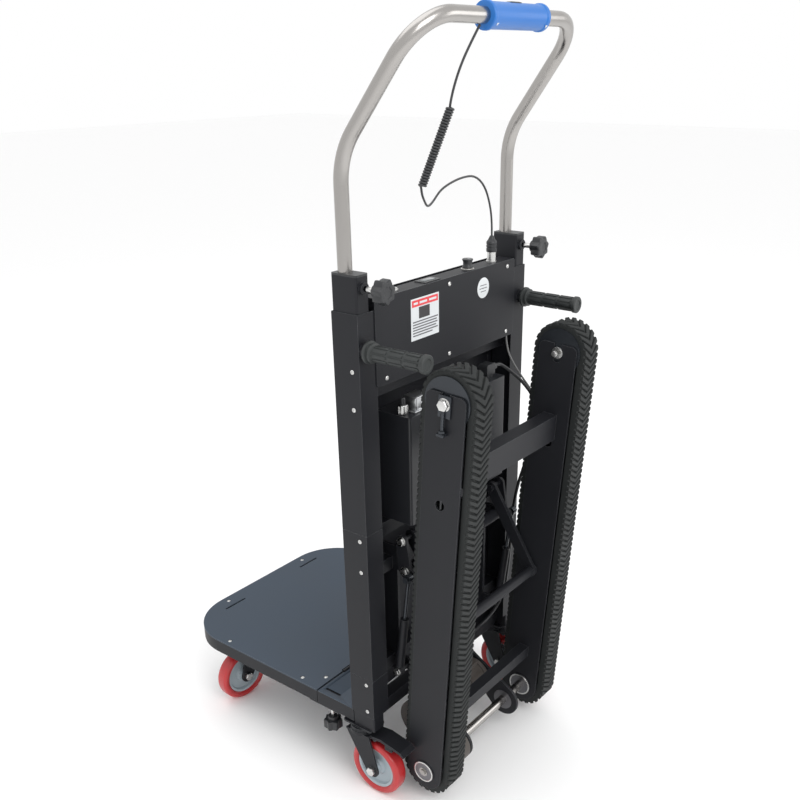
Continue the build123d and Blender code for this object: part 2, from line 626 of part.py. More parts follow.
CORD_R, COIL_R = 2.0, 7.5
CORD_START = (78.0, BAR_Y - 2, BAR_Z - PIPE_R - 0.9)
UPPER_LEAD = [
    CORD_START, (90, 106, 1438), (104, 98, 1408), (112, 90, 1376), (112, 84, 1346),
]
COIL = [(112.5, 83.7, 1344.6), (152, 56, 1228)]   # just clear of the lead, which moves with the handle
LOWER_LEAD = [
    COIL[-1], (140, 46, 1214), (118, 34, 1200), (94, 22, 1186), (66, 12, 1190), (34, 4, 1206),
    (-2, -2, 1214), (-44, -6, 1220), (-90, -8, 1220), (-128, -11, 1198), (-150, -13, 1162),
    (-160, PANEL_Y, 1126), (SOCKET_X, PANEL_Y, BOX_TOP + 51),
]


def cord_part(points, radius):
    if len(points) == 2:
        a, b = Vector(*points[0]), Vector(*points[1])
        return rod(points[0], tuple(b - a), radius, (b - a).length)
    radii = arc_radii(points)
    print("cord radii", [round(r) for r in radii])
    return tube_along(points, radius, radii)


# ---------------------------------------------------------------- platform

def deck_face(inset=0.0):
    half, front, corner = DECK_HALF - inset, DECK_FRONT + inset, CORNER_R - inset
    rear = DECK_REAR - (inset if inset else 0)
    outline = FilletPolyline((-half, rear), (-half, front), (half, front), (half, rear), radius=corner)
    return make_face(outline.edges() + Line((half, rear), (-half, rear)).edges())


def platform_rim():
    rim = extrude(Pos(0, 0, BASE_LOW) * (deck_face() - deck_face(RIM_W)), BASE_TOP - BASE_LOW)
    hollow = extrude(Pos(0, 0, BASE_LOW + RIM_WALL) * (deck_face(RIM_WALL) - deck_face(RIM_W - RIM_WALL)),
                     BASE_TOP - BASE_LOW - 2 * RIM_WALL)
    return rim - hollow


def platform_frame():
    frame = platform_rim()
    for y in (-484, -300):
        frame += block(-231, 231, y - 15, y + 15, BASE_LOW, BASE_TOP)
        frame -= block(-228, 228, y - 12.5, y + 12.5, BASE_LOW + 2.5, BASE_TOP - 2.5)
    for side in SIDES:
        for x in (132.5, 167.5):
            frame -= bar_x(side * x - 8.2, side * x + 8.2, FOLD_Y, FOLD_Z, KNUCKLE_R + 0.6)
        frame += bar_x(side * 150 - 9, side * 150 + 9, FOLD_Y, FOLD_Z, KNUCKLE_R)
        frame += block(side * 150 - 9, side * 150 + 9, DECK_REAR - 6, DECK_REAR + 0.2, FOLD_Z - 3.5, FOLD_Z)
        frame -= bar_x(side * 150 - 12, side * 150 + 12, FOLD_Y, FOLD_Z, 2 + RUN)
    return frame


def deck_plate():
    plate = extrude(Pos(0, 0, BASE_TOP) * deck_face(), DECK_SHEET)
    for side in SIDES:
        plate -= block(side * 150 - 27, side * 150 + 27, FOLD_Y - KNUCKLE_R - 1, DECK_REAR + 5, 190, 205)
        slot = extrude(SlotOverall(STRAP_LENGTH, STRAP_W), 12)
        plate -= Pos(side * STRAP_X, STRAP_Y, BASE_TOP - 4) * slot
        for x, y in DECK_SCREWS:
            plate -= rod((side * x, y, BASE_TOP - 2), (0, 0, 1), 5.2, 10)
    return plate


def deck_screws():
    """Sunk in the sheet, so a load lies flat on it."""
    height = DECK_SHEET - 0.2
    return [screw_head(side * x, y, BASE_TOP, (0, 0, 1), 5, height) for x, y in DECK_SCREWS for side in SIDES]


# ---------------------------------------------------------------- casters
# Drawn around the swivel axis with the wheel trailing along +Y, then turned and moved.

def at_caster(name, shape):
    x, y, turn = CASTERS[name]
    return Pos(x, y, 0) * Rot(0, 0, turn) * shape


def caster_race():
    plate = extrude(Pos(0, 0, CASTER_HEIGHT - 4) * RectangleRounded(46, 76, 5), 4)
    race = rod((0, 0, CASTER_HEIGHT - 11), (0, 0, 1), 28, 7)
    pin = rod((0, 0, CASTER_HEIGHT - 24), (0, 0, 1), 6, 14)
    return plate + race + pin


def fork():
    top = CASTER_HEIGHT - 12
    crown = rod((0, 0, top - 8), (0, 0, 1), 29, 8)
    crown += block(-FORK_GAP / 2 - FORK_PLATE, FORK_GAP / 2 + FORK_PLATE, -29, 31, top - 8, top - 4)
    crown -= rod((0, 0, top - 12), (0, 0, 1), 6 + RUN, 20)
    cheek_face = make_hull((Pos(TRAIL, WHEEL_R) * Circle(16)).edges()
                           + Line((-30, top - 4), (32, top - 4)).edges())
    body = crown
    for side in SIDES:
        x0, x1 = sorted((side * FORK_GAP / 2, side * (FORK_GAP / 2 + FORK_PLATE)))
        body += profile_x(cheek_face, x0, x1)
        x0, x1 = sorted((side * (FORK_GAP / 2 + FORK_PLATE), side * (FORK_GAP / 2 + FORK_PLATE + 7)))
        body += hexagon_x(x0, x1, TRAIL, WHEEL_R, 18)
    return body + bar_x(-FORK_GAP / 2 - 2, FORK_GAP / 2 + 2, TRAIL, WHEEL_R, 6)


def wheel_hub():
    hub = bar_x(-11, 11, TRAIL, WHEEL_R, 46)
    hub -= ring_x(-15, -4, TRAIL, WHEEL_R, 40, 16)
    hub -= ring_x(4, 15, TRAIL, WHEEL_R, 40, 16)
    hub += bar_x(-17, 17, TRAIL, WHEEL_R, 14)
    return hub - bar_x(-25, 25, TRAIL, WHEEL_R, 6 + RUN)


def wheel_tyre():
    tyre = ring_x(-WHEEL_W / 2, WHEEL_W / 2, TRAIL, WHEEL_R, WHEEL_R, 46)
    rims = tyre.edges().filter_by(GeomType.CIRCLE).sort_by(SortBy.RADIUS)[-2:]
    return fillet(rims, 6)


PEDAL_Y, PEDAL_Z = 44.0, 142.0


def brake_pedal():
    outline = Polyline((33, 147), (60, 151), (112, 142), (121, 133), (118, 131), (108, 137), (60, 145),
                       (33, 141), close=True)
    pad = profile_x(make_face(outline), -19.5, 19.5)
    shoe = block(-13, 13, 66, 84, 124, 143)
    pivot = bar_x(-19.5, 19.5, PEDAL_Y, PEDAL_Z, 4)
    return pad + shoe + pivot


def write_all():
    os.makedirs("parts", exist_ok=True)
    save("main_frame", main_frame())
    save("upright_covers", *upright_covers())
    save("socket_guides", *both(socket_guide()))
    save("front_panel", front_panel())
    save("control_box", control_box())
    save("rear_cover", rear_cover())
    save("cover_screws", *panel_screws())
    save("charge_display", charge_display())
    save("speed_knob", speed_knob())
    save("panel_sockets", round_socket(PORT_X, 5), round_socket(SOCKET_X, 20), speed_base())
    save("battery_case", battery_case())
    save("battery_fittings", battery_latch(), battery_terminal())
    save("battery_plug", battery_plug())
    save("power_cable", tube_along(CABLE_ROUTE, CABLE_R, arc_radii(CABLE_ROUTE)))
    save("gear_motor", drive_motor(), gearbox())
    save("shaft_bearings",
         flanged_bearing(BRACKET_LEFT + BRACKET, 1, BEARING_SEAT, BEARING_FLANGE),
         flanged_bearing(BRACKET_RIGHT, -1, BEARING_SEAT, BEARING_FLANGE))
    save("side_grips", *both(side_grip()))

    save("track_frame", track_frame())
    save("track_side_plates", *outer_plates())
    save("track_tensioners", *[on_track(copy) for copy in both(tensioner())])
    inner = [flanged_bearing(side * PLATE_IN, -side, BEARING_SEAT, BEARING_FLANGE) for side in SIDES]
    outer = [flanged_bearing(side * PLATE_OUT, side, 21, 24) for side in SIDES]
    save("track_bearings", *inner, *outer)
    save("track_belts", *[belt(side) for side in SIDES])
    save("drive_shaft", drive_shaft())
    save("drive_sprockets", *both(drive_sprocket()))
    for side, name in ((1, "left"), (-1, "right")):
        save(f"idler_wheel_{name}", idler() if side > 0 else mirror(idler(), about=Plane.YZ))
        save(f"clamp_knob_{name}", clamp_knob(side))
        knob = lock_knob()
        save(f"lock_knob_{name}", knob if side > 0 else mirror(knob, about=Plane.YZ))

    save("brace_strut", strut())
    save("brace_lever", lever())
    save("gas_cylinders", *both(gas_cylinder()))
    save("gas_rods", *both(gas_rod()))

    save("handle_tube", handle_tube())
    save("grip_sleeve", grip_sleeve())
    save("grip_switch", grip_switch())
    save("cord_upper_lead", cord_part(UPPER_LEAD, CORD_R))
    save("cord_coil", cord_part(COIL, COIL_R))
    save("cord_lower_lead", cord_part(LOWER_LEAD, CORD_R))
    save("cord_plug", cord_plug())

    save("platform_frame", platform_frame())
    save("deck_plate", deck_plate())
    save("deck_screws", *deck_screws())

    for place in ("rear", "front"):
        names = [name for name in CASTERS if name.startswith(place)]
        save(f"{place}_caster_mounts", *[at_caster(name, caster_race()) for name in names])
        for name in names:
            save(f"{name}_fork", at_caster(name, fork()))
            save(f"{name}_hub", at_caster(name, wheel_hub()))
            save(f"{name}_tyre", at_caster(name, wheel_tyre()))
            if place == "rear":
                save(f"{name}_brake_pedal", at_caster(name, brake_pedal()))


write_all()
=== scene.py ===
from math import cos, pi, radians, sin

import bpy
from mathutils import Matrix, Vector


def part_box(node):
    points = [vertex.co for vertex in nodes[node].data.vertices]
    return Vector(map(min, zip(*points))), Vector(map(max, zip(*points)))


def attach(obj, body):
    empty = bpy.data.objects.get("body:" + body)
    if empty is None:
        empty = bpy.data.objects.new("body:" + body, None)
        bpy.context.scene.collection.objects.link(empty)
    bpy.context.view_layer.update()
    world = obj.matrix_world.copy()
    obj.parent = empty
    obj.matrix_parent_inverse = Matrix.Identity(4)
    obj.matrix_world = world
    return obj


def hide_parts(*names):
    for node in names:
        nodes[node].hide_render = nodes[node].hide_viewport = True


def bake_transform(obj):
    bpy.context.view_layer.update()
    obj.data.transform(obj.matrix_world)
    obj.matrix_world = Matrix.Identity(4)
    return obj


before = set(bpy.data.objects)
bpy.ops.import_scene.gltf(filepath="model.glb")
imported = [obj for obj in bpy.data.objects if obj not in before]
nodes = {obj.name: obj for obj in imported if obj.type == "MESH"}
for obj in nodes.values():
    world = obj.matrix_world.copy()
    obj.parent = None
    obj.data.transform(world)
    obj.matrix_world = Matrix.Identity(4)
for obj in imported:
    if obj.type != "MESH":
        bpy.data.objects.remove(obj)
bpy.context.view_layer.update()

# Drawing places are millimetres: x to the operator's left, y back from the uprights' rear face,
# z up from the floor. at() puts them into the frame, in metres.
MM = 0.001
COVER_SHEET = 1.5
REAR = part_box("rear_cover")[0].y / MM - COVER_SHEET
COVER_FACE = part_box("rear_cover")[1].y / MM - REAR
SIDES = ((1, "left"), (-1, "right"))

# Turns that take a piece drawn along +Z to another axis
TO_X, TO_MINUS_X = (0, pi / 2, 0), (0, -pi / 2, 0)
TO_Y, TO_MINUS_Z = (-pi / 2, 0, 0), (pi, 0, 0)

# Steps round a ring, and how near two corners have to be to become one, in metres
RING_STEPS, WELD = 72, 0.00001


def at(x, y, z):
    return Vector((x, y + REAR, z)) * MM


# ---------------------------------------------------------------- modelling

def deselect():
    bpy.ops.object.select_all(action="DESELECT")


def choose(piece):
    deselect()
    piece.select_set(True)
    bpy.context.view_layer.objects.active = piece


def place(piece, position, turn=(0, 0, 0)):
    """Moves a piece drawn at the origin to its place and leaves its object at the origin."""
    choose(piece)
    piece.rotation_euler = turn
    piece.location = position
    bpy.ops.object.transform_apply(location=True, rotation=True, scale=True)
    return piece


def smooth(piece, angle=35):
    choose(piece)
    bpy.ops.object.shade_smooth_by_angle(angle=radians(angle))
    return piece


def bevelled(piece, width, segments, angle):
    choose(piece)
    bevel = piece.modifiers.new("edge", "BEVEL")
    bevel.width = width
    bevel.segments = segments
    bevel.limit_method = "ANGLE"
    bevel.angle_limit = radians(angle)
    bpy.ops.object.modifier_apply(modifier=bevel.name)
    return piece


def soften(piece, width, segments=3, angle=35):
    """Rounds the edges by width millimetres, then smooths the shading."""
    return smooth(bevelled(piece, width * MM, segments, angle), angle)


def cut_out(piece, tool):
    """Cuts the tool's shape from the piece and removes the tool."""
    cut = piece.modifiers.new("cut", "BOOLEAN")
    cut.object = tool
    cut.solver = "EXACT"
    choose(piece)
    bpy.ops.object.modifier_apply(modifier=cut.name)
    bpy.data.objects.remove(tool)


def edit_all():
    bpy.ops.object.mode_set(mode="EDIT")
    bpy.ops.mesh.select_all(action="SELECT")


def extrude_up(rise, ratio=1.0):
    """Extrudes the chosen face up by rise and scales it by ratio."""
    bpy.ops.mesh.extrude_region_move(TRANSFORM_OT_translate={"value": (0, 0, rise)})
    bpy.ops.transform.resize(value=(ratio, ratio, 1))


def close_edit():
    """Turns every face outward and leaves edit mode."""
    bpy.ops.mesh.select_all(action="SELECT")
    bpy.ops.mesh.normals_make_consistent(inside=False)
    bpy.ops.object.mode_set(mode="OBJECT")


def turned(name, steps, edge=0.0, vertices=48):
    """A solid turned about +Z, drawn as (radius, height) steps."""
    deselect()
    radius, height = steps[0]
    bpy.ops.mesh.primitive_circle_add(vertices=vertices, radius=radius * MM, fill_type="NGON")
    piece = bpy.context.object
    piece.name = name
    piece.location.z = height * MM
    bpy.ops.object.transform_apply(location=True)
    edit_all()
    for next_radius, next_height in steps[1:]:
        extrude_up((next_height - height) * MM, next_radius / radius)
        radius, height = next_radius, next_height
    close_edit()
    return soften(piece, edge) if edge else smooth(piece)


def spun(name, inner, outer, width, corner):
    """A ring about +Z with rounded corners."""
    deselect()
    bpy.ops.mesh.primitive_plane_add(size=1)
    piece = bpy.context.object
    piece.name = name
    piece.scale = ((outer - inner) * MM, width * MM, 1)
    piece.rotation_euler = (pi / 2, 0, 0)
    piece.location.x = (inner + outer) / 2 * MM
    bpy.ops.object.transform_apply(location=True, rotation=True, scale=True)
    edit_all()
    bpy.ops.mesh.bevel(offset=corner * MM, segments=5, affect="VERTICES")
    bpy.ops.mesh.select_all(action="SELECT")
    bpy.ops.mesh.spin(steps=RING_STEPS, angle=2 * pi, center=(0, 0, 0), axis=(0, 0, 1))
    bpy.ops.mesh.select_all(action="SELECT")
    bpy.ops.mesh.remove_doubles(threshold=WELD)
    close_edit()
    return smooth(piece)


def slab(name, size, edge, segments=3):
    """A block of the given size about the origin, with rounded edges."""
    deselect()
    bpy.ops.mesh.primitive_cube_add(size=1)
    piece = bpy.context.object
    piece.name = name
    piece.scale = [length * MM for length in size]
    bpy.ops.object.transform_apply(scale=True)
    return soften(piece, edge, segments)


def copy_of(piece, name):
    twin = piece.copy()
    twin.data = piece.data.copy()
    twin.name = name
    bpy.context.scene.collection.objects.link(twin)
    return twin


def joined(name, pieces):
    deselect()
    for piece in pieces:
        piece.select_set(True)
    bpy.context.view_layer.objects.active = pieces[0]
    bpy.ops.object.join()
    pieces[0].name = name
    return pieces[0]


def dress(piece, material, body, slot, *stands_for):
    """Gives a piece its finish, its body and the CAD nodes that it stands for. The slot argument is
    not used.
    """
    piece.data.materials.clear()
    piece.data.materials.append(material)
    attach(piece, body)
    if stands_for:
        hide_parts(*stands_for)
    return piece


# ---------------------------------------------------------------- shared effects

def new_group(name, inputs, outputs):
    group = bpy.data.node_groups.new(name, "ShaderNodeTree")
    for socket, default in inputs:
        entry = group.interface.new_socket(socket, in_out="INPUT", socket_type="NodeSocketFloat")
        entry.default_value = default
    for socket, kind in outputs:
        group.interface.new_socket(socket, in_out="OUTPUT", socket_type=kind)
    return group, group.nodes.new("NodeGroupInput"), group.nodes.new("NodeGroupOutput")


def math_node(tree, operation, first, second, clamp=False):
    node = tree.nodes.new("ShaderNodeMath")
    node.operation = operation
    node.use_clamp = clamp
    for socket, value in zip(node.inputs, (first, second)):
        if isinstance(value, (int, float)):
            socket.default_value = value
        else:
            tree.links.new(value, socket)
    return node.outputs[0]


def grain_group():
    """Fine surface texture with slow patches of different gloss."""
    group, given, result = new_group(
        "surface_grain",
        [("Scale", 900.0), ("Height", 0.00004), ("Patch Scale", 6.0), ("Stretch", 1.0)],
        [("Patches", "NodeSocketFloat"), ("Normal", "NodeSocketVector")])
    members, links = group.nodes, group.links
    spot = members.new("ShaderNodeTexCoord")
    stretch = members.new("ShaderNodeCombineXYZ")
    links.new(given.outputs["Stretch"], stretch.inputs[0])
    stretch.inputs[1].default_value = stretch.inputs[2].default_value = 1.0
    mapped = members.new("ShaderNodeVectorMath")
    mapped.operation = "MULTIPLY"
    links.new(spot.outputs["Object"], mapped.inputs[0])
    links.new(stretch.outputs[0], mapped.inputs[1])
    fine, slow = members.new("ShaderNodeTexNoise"), members.new("ShaderNodeTexNoise")
    for noise, scale in ((fine, "Scale"), (slow, "Patch Scale")):
        links.new(mapped.outputs[0], noise.inputs["Vector"])
        links.new(given.outputs[scale], noise.inputs["Scale"])
        noise.inputs["Detail"].default_value = 3.0
    bump = members.new("ShaderNodeBump")
    bump.inputs["Strength"].default_value = 0.6
    links.new(given.outputs["Height"], bump.inputs["Distance"])
    links.new(fine.outputs["Fac"], bump.inputs["Height"])
    links.new(slow.outputs["Fac"], result.inputs["Patches"])
    links.new(bump.outputs["Normal"], result.inputs["Normal"])
    return group


def wear_group():
    """Mask of the outer edges, broken up so that only parts of an edge are rubbed."""
    group, given, result = new_group(
        "edge_wear", [("Radius", 0.0012), ("Amount", 2.2)], [("Mask", "NodeSocketFloat")])
    members, links = group.nodes, group.links
    rounded = members.new("ShaderNodeBevel")
    rounded.samples = 4
    links.new(given.outputs["Radius"], rounded.inputs["Radius"])
    surface = members.new("ShaderNodeNewGeometry")
    agree = members.new("ShaderNodeVectorMath")
    agree.operation = "DOT_PRODUCT"
    links.new(rounded.outputs[0], agree.inputs[0])
    links.new(surface.outputs["Normal"], agree.inputs[1])
    edge = math_node(group, "SUBTRACT", 1.0, agree.outputs["Value"])
    spot = members.new("ShaderNodeTexCoord")
    noise = members.new("ShaderNodeTexNoise")
    noise.inputs["Scale"].default_value = 45.0
    noise.inputs["Detail"].default_value = 6.0
    links.new(spot.outputs["Object"], noise.inputs["Vector"])
    broken = math_node(group, "MULTIPLY", edge, noise.outputs["Fac"])
    scaled = math_node(group, "MULTIPLY", broken, given.outputs["Amount"], clamp=True)
    links.new(scaled, result.inputs["Mask"])
    return group


GRAIN, WEAR = grain_group(), wear_group()


# ---------------------------------------------------------------- materials

def finish(name, colour, rough, patch=0.1, tint=None, metal=0.0, coat=0.0, grain=(900.0, 0.00004),
           patches=6.0, stretch=1.0, wear=None, subsurface=0.0, specular=0.5):
    """Base colour with patches of tint, roughness that varies by patch, grain and worn edges."""
    material = bpy.data.materials.new(name)
    material.use_nodes = True
    tree = material.node_tree
    shader = tree.nodes["Principled BSDF"]
    shader.inputs["Metallic"].default_value = metal
    shader.inputs["Specular IOR Level"].default_value = specular
    shader.inputs["Coat Weight"].default_value = coat
    shader.inputs["Coat Roughness"].default_value = 0.15
    shader.inputs["Subsurface Weight"].default_value = subsurface
    shader.inputs["Subsurface Scale"].default_value = 0.004
    texture = tree.nodes.new("ShaderNodeGroup")
    texture.node_tree = GRAIN
    texture.inputs["Scale"].default_value, texture.inputs["Height"].default_value = grain
    texture.inputs["Patch Scale"].default_value = patches
    texture.inputs["Stretch"].default_value = stretch
    tree.links.new(texture.outputs["Normal"], shader.inputs["Normal"])
    gloss = tree.nodes.new("ShaderNodeMapRange")
    gloss.inputs["To Min"].default_value = rough - patch
    gloss.inputs["To Max"].default_value = rough + patch
    tree.links.new(texture.outputs["Patches"], gloss.inputs["Value"])
    tree.links.new(gloss.outputs["Result"], shader.inputs["Roughness"])
    shade = tree.nodes.new("ShaderNodeMix")
    shade.data_type = "RGBA"
    shade.inputs["A"].default_value = (*colour, 1)
    shade.inputs["B"].default_value = (*(tint or [c * 1.35 for c in colour]), 1)
    tree.links.new(texture.outputs["Patches"], shade.inputs["Factor"])
    base = shade.outputs["Result"]
    if wear:
        rubbed = tree.nodes.new("ShaderNodeGroup")
        rubbed.node_tree = WEAR
        worn = tree.nodes.new("ShaderNodeMix")
        worn.data_type = "RGBA"
        tree.links.new(rubbed.outputs["Mask"], worn.inputs["Factor"])
        tree.links.new(base, worn.inputs["A"])
        worn.inputs["B"].default_value = (*wear, 1)
        base = worn.outputs["Result"]
    tree.links.new(base, shader.inputs["Base Color"])
    return material


EDGE_GREY = (0.20, 0.21, 0.22)
black_powder = finish("black_powder_coat", (0.010, 0.0105, 0.0130), 0.50, wear=EDGE_GREY,
                      specular=0.26)
deck_powder = finish("blue_grey_deck_coat", (0.032, 0.046, 0.066), 0.58, 0.08,
                     wear=(0.20, 0.23, 0.26), specular=0.35)
stainless = finish("brushed_stainless", (0.37, 0.355, 0.34), 0.26, 0.04, (0.41, 0.395, 0.38),
                   metal=1.0, grain=(500.0, 0.000006), patches=14.0, stretch=3.0)
zinc = finish("bright_zinc", (0.56, 0.56, 0.55), 0.28, 0.10, metal=1.0, patches=90.0)
silver_box = finish("plated_latch", (0.50, 0.51, 0.52), 0.33, 0.08, metal=1.0, patches=50.0)
blue_rubber = finish("blue_grip_rubber", (0.010, 0.125, 0.43), 0.38, 0.06, (0.016, 0.155, 0.50),
                     coat=0.05)
grip_rubber = finish("moulded_black_rubber", (0.020, 0.023, 0.023), 0.55, 0.10,
                     grain=(1400.0, 0.00006))
belt_rubber = finish("belt_rubber", (0.014, 0.016, 0.016), 0.62, 0.12, (0.024, 0.026, 0.026),
                     grain=(700.0, 0.00010), patches=24.0, specular=0.25)
black_plastic = finish("black_plastic", (0.017, 0.018, 0.020), 0.40, 0.10,
                       grain=(1200.0, 0.00005))
gloss_black = finish("turned_black_metal", (0.030, 0.034, 0.040), 0.22, 0.08, metal=0.5,
                     patches=40.0)
case_black = finish("battery_case_paint", (0.014, 0.015, 0.018), 0.38, wear=EDGE_GREY)
motor_paint = finish("motor_paint", (0.055, 0.046, 0.040), 0.50, patches=30.0, wear=EDGE_GREY)
red_tyre = finish("red_polyurethane", (0.42, 0.014, 0.018), 0.36, 0.08, (0.50, 0.028, 0.030),
                  coat=0.25, patches=30.0, subsurface=0.15)
grey_hub = finish("grey_hub_nylon", (0.30, 0.35, 0.38), 0.42, 0.08, patches=20.0)
cord_jacket = finish("cord_jacket", (0.022, 0.023, 0.025), 0.40, 0.06)
grey_jacket = finish("grey_cable_jacket", (0.16, 0.16, 0.16), 0.45, 0.06)
slate_glass = finish("display_window", (0.045, 0.060, 0.066), 0.12, 0.04, coat=0.5)
white_print = finish("white_print", (0.56, 0.58, 0.59), 0.45, 0.05)
red_print = finish("red_print", (0.62, 0.045, 0.055), 0.42, 0.05)
dark_print = finish("dark_print", (0.030, 0.028, 0.030), 0.42, 0.05)
grey_print = finish("grey_print", (0.09, 0.09, 0.10), 0.45, 0.05)
bearing_steel = finish("bearing_steel", (0.16, 0.16, 0.17), 0.38, 0.06, metal=1.0, patches=40.0)
pale_washer = finish("pale_washer", (0.45, 0.44, 0.42), 0.40, 0.06, metal=0.6)

CAD_FINISHES = {
    black_powder: ["main_frame", "upright_covers", "front_panel", "control_box", "rear_cover",
                   "track_frame", "track_side_plates", "brace_lever", "brace_strut",
                   "gas_cylinders", "platform_frame", "rear_left_fork", "rear_right_fork",
                   "front_left_fork", "front_right_fork", "rear_left_brake_pedal",
                   "rear_right_brake_pedal", "rear_caster_mounts", "front_caster_mounts"],
    deck_powder: ["deck_plate"],
    stainless: ["handle_tube", "drive_shaft"],
    zinc: ["panel_sockets"],
    bearing_steel: ["shaft_bearings", "track_bearings"],
    black_plastic: ["socket_guides", "charge_display", "battery_plug", "grip_switch",
                    "drive_sprockets"],
    gloss_black: ["idler_wheel_left", "idler_wheel_right", "gas_rods"],
    case_black: ["battery_case"],
    motor_paint: ["gear_motor"],
    cord_jacket: ["power_cable"],
}
for material, names in CAD_FINISHES.items():
    for name in names:
        for entry in nodes[name].material_slots:
            entry.material = material


# ---------------------------------------------------------------- control cord and cables

CORD_R, COIL_TURNS, COIL_MEAN_R, POINTS_PER_TURN = 2.0, 29, 5.5, 14
UPPER_LEAD = [(78, 115, 1463.6), (90, 106, 1438), (104, 98, 1408), (112, 90, 1376)]
COIL_START, COIL_END = Vector((112, 84, 1346)), Vector((152, 56, 1228))
PLUG_R, GROOVE_R = 10.5, 9.7
LOWER_LEAD = [
    (140, 46, 1214), (118, 34, 1200), (94, 22, 1186), (66, 12, 1190), (34, 4, 1206),
    (-2, -2, 1214), (-44, -6, 1220), (-90, -8, 1220), (-128, -11, 1198), (-150, -13, 1162),
    (-160, -14, 1126), (-160, -14, 1100),
]


def curly_points():
    """Turns of the curly stretch of the cord, between its two straight leads."""
    axis = (COIL_END - COIL_START).normalized()
    across = axis.cross(Vector((0, 0, 1))).normalized()
    up = axis.cross(across)
    count = COIL_TURNS * POINTS_PER_TURN
    points = []
    for i in range(count + 1):
        angle = 2 * pi * i / POINTS_PER_TURN
        middle = COIL_START.lerp(COIL_END, i / count)
        points.append(middle + (across * cos(angle) + up * sin(angle)) * COIL_MEAN_R)
    return points


def flex(name, points, radius):
    """A round flexible line that follows the points from end to end, as a curve."""
    curve = bpy.data.curves.new(name, "CURVE")
    curve.dimensions = "3D"
    curve.bevel_depth = radius * MM
    curve.bevel_resolution = 3
    curve.resolution_u = 4
    curve.use_fill_caps = True
    spline = curve.splines.new("NURBS")
    spline.points.add(len(points) - 1)
    for knot, point in zip(spline.points, points):
        knot.co = (*at(*point), 1)
    spline.order_u = 3
    spline.use_endpoint_u = True
    piece = bpy.data.objects.new(name, curve)
    bpy.context.scene.collection.objects.link(piece)
    return piece


def control_cord():
    # The plug: body with finger grooves and a tapered relief, standing on the panel socket
    plug_low, plug_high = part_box("cord_plug")
    height = (plug_high.z - plug_low.z) / MM
    steps = [(10.0, 0), (PLUG_R, 1)]
    for low in (7, 13):
        steps += [(PLUG_R, low), (GROOVE_R, low + 0.6), (GROOVE_R, low + 1.8), (PLUG_R, low + 2.4)]
    steps += [(PLUG_R, 19), (8.6, 22), (7.4, 23), (5.6, 27), (3.6, height)]
    plug = turned("cord_plug_body", steps, 0.3)
    middle = (plug_low + plug_high) / 2
    place(plug, (middle.x, middle.y, plug_low.z))
    dress(plug, black_plastic, "frame", "black_plastic", "cord_plug")

    # The line that the cord follows, then the cord itself, which stretches between handle and frame
    route = UPPER_LEAD + curly_points() + LOWER_LEAD
    line = flex("cord_line", route, 0)
    path = [corner.co[:] for corner in bpy.data.meshes.new_from_object(line).vertices]
    bpy.data.objects.remove(line)
    cord = flex("control_cord", route, CORD_R)
    choose(cord)
    bpy.ops.object.convert(target="MESH")
    smooth(cord, 60)
    cord.data.materials.append(cord_jacket)
    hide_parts("cord_upper_lead", "cord_coil", "cord_lower_lead")
    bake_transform(cord)


def signal_cable():
    """Thin grey lead from under the control box to the power cable behind the right track."""
    route = [(-208, -6, 892), (-207, -2, 860), (-210, 16, 828), (-224, 35, 793), (-243, 50, 760),
             (-239, 64, 724), (-227, 66, 686), (-217, 55, 622)]
    dress(flex("signal_cable", route, 2.0), grey_jacket, "frame", "cord_black")


# ---------------------------------------------------------------- fasteners

def screw_head(name, radius, height):
    """Low domed head with a cross recess, its underside at the origin."""
    head = turned(name, [(radius, 0), (radius, height * 0.35), (radius * 0.86, height * 0.75),
                         (radius * 0.55, height)], 0.0, 20)
    for turn in (0, pi / 2):
        recess = slab("recess", (radius * 1.1, radius * 0.28, height), 0.05, 1)
        cut_out(head, place(recess, (0, 0, height * MM), (0, 0, turn)))
    return head


def screw_set(name, radius, height, places, body, stands_for):
    """Copies of one screw, each given as a position and the turn of its axis."""
    first = screw_head(name, radius, height)
    heads = []
    for i, (position, turn) in enumerate(places):
        heads.append(place(copy_of(first, f"{name}_{i}"), at(*position), turn))
    bpy.data.objects.remove(first)
    dress(joined(name, heads), zinc, body, "zinc", stands_for)


def all_screws():
    cover_low, cover_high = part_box("rear_cover")
    rows = (cover_low.z / MM + 11, cover_high.z / MM - 12)
    places = [((x, COVER_FACE, z), TO_Y) for z in rows for x in (-192, 5, 192)]
    side_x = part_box("upright_covers")[1].x / MM
    for z in (929, 860, 600, 534, 274, 209):
        places += [((side_x, -15, z), TO_X), ((-side_x, -15, z), TO_MINUS_X)]
    screw_set("cover_screw_heads", 4.2, 2.0, places, "frame", "cover_screws")
    deck_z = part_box("deck_plate")[1].z / MM
    deck = [(129, -584), (246, -448), (246, -215), (215, -175)]
    sunk = 3
    places = [((side * x, y, deck_z - sunk), (0, 0, 0)) for x, y in deck for side in (1, -1)]
    screw_set("deck_screw_heads", 5.0, 2.8, places, "platform", "deck_screws")


def hex_bolt(name, flats, height, body, x, y, z, side):
    """Hexagon head with chamfered corners and a washer face, looking out along side."""
    radius = flats / 3 ** 0.5
    head = turned(name, [(radius, 0), (radius, height * 0.8), (radius * 0.88, height)], 0.4, 6)
    washer = turned(name + "_washer", [(flats * 0.62, -1.0), (flats * 0.62, 0.2)], 0.2, 40)
    bolt = joined(name, [head, washer])
    place(bolt, at(side * x, y, z), TO_X if side > 0 else TO_MINUS_X)
    dress(bolt, zinc, body, "zinc")


